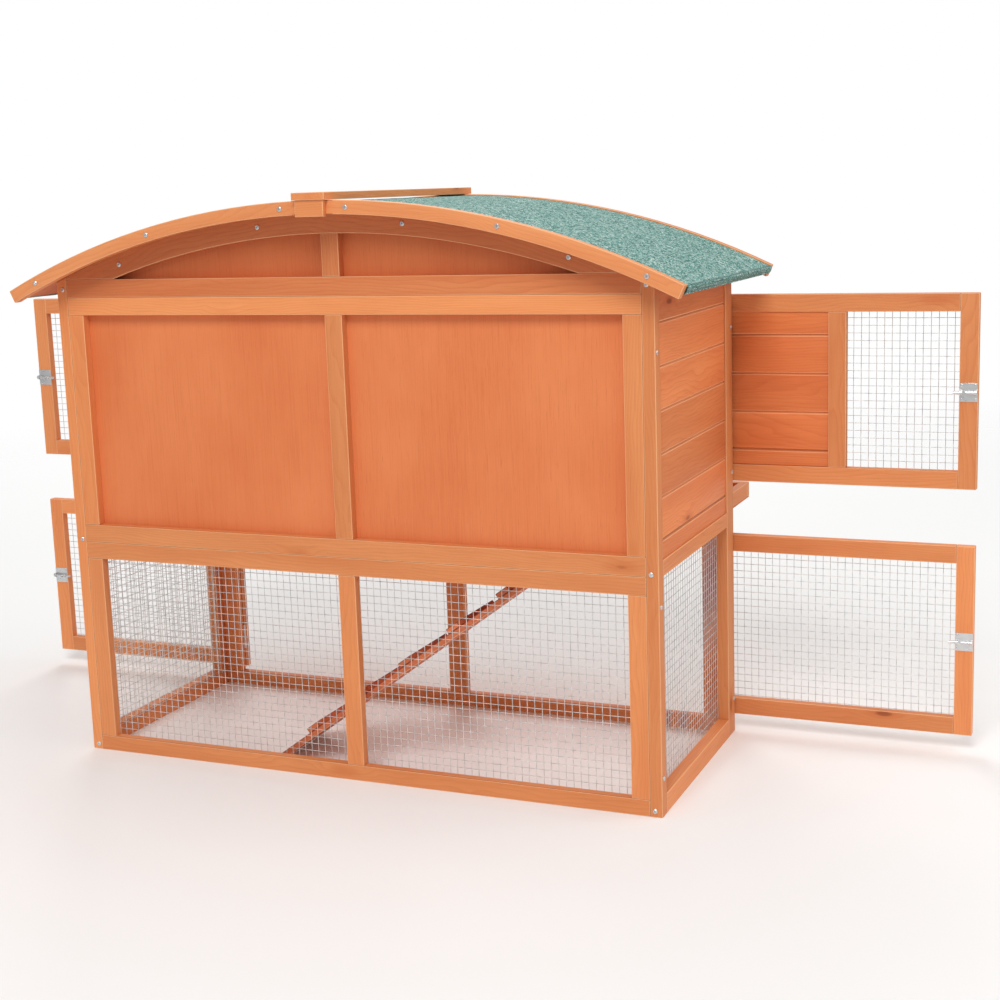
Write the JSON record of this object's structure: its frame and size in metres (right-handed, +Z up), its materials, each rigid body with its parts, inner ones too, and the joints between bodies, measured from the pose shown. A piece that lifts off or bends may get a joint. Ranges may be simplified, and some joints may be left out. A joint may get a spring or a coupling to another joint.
{
  "type": "rabbit hutch",
  "caption": "Two-storey wooden rabbit hutch with an arched felt roof, mesh run below, boarded doors, pull-out tray and inner ramp.",
  "frame": {"origin": "on the floor under the middle of the front frame's bottom rail, midway through its thickness", "axes": "+X to the right of someone facing the doors (the length), +Y from the doors to the rear, +Z up"},
  "size_m": [1.887, 0.697, 0.9735],
  "materials": {
    "frame_wood": "stained fir",
    "door_wood": "stained fir",
    "board_wood": "stained tongued and grooved boards",
    "ply": "stained plywood",
    "inner_wood": "plain timber and plywood",
    "felt": "mineral-surfaced green roofing felt",
    "mesh": "galvanised welded mesh",
    "zinc": "bright zinc plate"
  },
  "bodies": {
    "hutch": {"side_frame_right": "frame_wood", "side_frame_left": "frame_wood", "side_boards_right": "board_wood", "side_boards_left": "board_wood", "side_mesh_right": "mesh", "side_mesh_left": "mesh", "rear_lower_frame": "frame_wood", "rear_mesh": "mesh", "rear_upper_frame": "frame_wood", "rear_panels": "ply", "rear_gable_frame": "frame_wood", "rear_gable_panel": "ply", "front_gable_frame": "frame_wood", "front_gable_panel": "ply", "front_lower_frame": "frame_wood", "front_upper_frame": "frame_wood", "floor_deck": "inner_wood", "floor_battens": "inner_wood", "partition": "inner_wood", "partition_batten": "inner_wood", "screws": "zinc", "roof_deck_right": "inner_wood", "roof_deck_left": "inner_wood", "roof_felt_right": "felt", "roof_felt_left": "felt", "fascia_rear": "frame_wood", "fascia_front": "frame_wood", "ridge_board": "frame_wood", "ridge_blocks": "frame_wood", "door_hinges_fixed": "zinc", "bolt_keepers": "zinc", "ramp_hinges_fixed": "zinc"},
    "upper_right_door": {"upper_right_door_frame": "door_wood", "upper_right_door_mesh": "mesh", "upper_right_door_hinges": "zinc", "upper_right_door_latch": "zinc", "upper_right_door_boards": "board_wood"},
    "upper_right_door_bolt": {"upper_right_door_bolt": "zinc"},
    "upper_left_door": {"upper_left_door_frame": "door_wood", "upper_left_door_mesh": "mesh", "upper_left_door_hinges": "zinc", "upper_left_door_latch": "zinc", "upper_left_door_boards": "board_wood"},
    "upper_left_door_bolt": {"upper_left_door_bolt": "zinc"},
    "lower_right_door": {"lower_right_door_frame": "door_wood", "lower_right_door_mesh": "mesh", "lower_right_door_hinges": "zinc", "lower_right_door_latch": "zinc"},
    "lower_right_door_bolt": {"lower_right_door_bolt": "zinc"},
    "lower_left_door": {"lower_left_door_frame": "door_wood", "lower_left_door_mesh": "mesh", "lower_left_door_hinges": "zinc", "lower_left_door_latch": "zinc"},
    "lower_left_door_bolt": {"lower_left_door_bolt": "zinc"},
    "tray": {"tray_frame": "inner_wood", "tray_base": "inner_wood"},
    "ramp": {"ramp_board": "inner_wood", "ramp_cleats": "inner_wood", "ramp_hinges": "zinc"}
  },
  "joints": [
    {"name": "upper_right_door_hinge", "type": "hinge", "parent": "hutch", "child": "upper_right_door", "pos_m": [0.482, -0.0108, 0.6155], "axis": [0, 0, -1], "range_deg": [0, 180]},
    {"name": "upper_right_door_bolt_slide", "type": "slide", "parent": "upper_right_door", "child": "upper_right_door_bolt", "axis": [1, 0, 0], "range_m": [0, 0.013]},
    {"name": "upper_left_door_hinge", "type": "hinge", "parent": "hutch", "child": "upper_left_door", "pos_m": [-0.482, -0.0108, 0.6155], "axis": [0, 0, 1], "range_deg": [0, 180]},
    {"name": "upper_left_door_bolt_slide", "type": "slide", "parent": "upper_left_door", "child": "upper_left_door_bolt", "axis": [-1, 0, 0], "range_m": [0, 0.013]},
    {"name": "lower_right_door_hinge", "type": "hinge", "parent": "hutch", "child": "lower_right_door", "pos_m": [0.482, -0.0108, 0.1935], "axis": [0, 0, -1], "range_deg": [0, 180]},
    {"name": "lower_right_door_bolt_slide", "type": "slide", "parent": "lower_right_door", "child": "lower_right_door_bolt", "axis": [1, 0, 0], "range_m": [0, 0.013]},
    {"name": "lower_left_door_hinge", "type": "hinge", "parent": "hutch", "child": "lower_left_door", "pos_m": [-0.482, -0.0108, 0.1935], "axis": [0, 0, 1], "range_deg": [0, 180]},
    {"name": "lower_left_door_bolt_slide", "type": "slide", "parent": "lower_left_door", "child": "lower_left_door_bolt", "axis": [-1, 0, 0], "range_m": [0, 0.013]},
    {"name": "tray_slide", "type": "slide", "parent": "hutch", "child": "tray", "axis": [0, -1, 0], "range_m": [-0.198, 0.06]},
    {"name": "ramp_hinge", "type": "hinge", "parent": "hutch", "child": "ramp", "pos_m": [-0.33, 0.31, 0.3752], "axis": [0, -1, 0], "range_deg": [0, 32]}
  ]
}
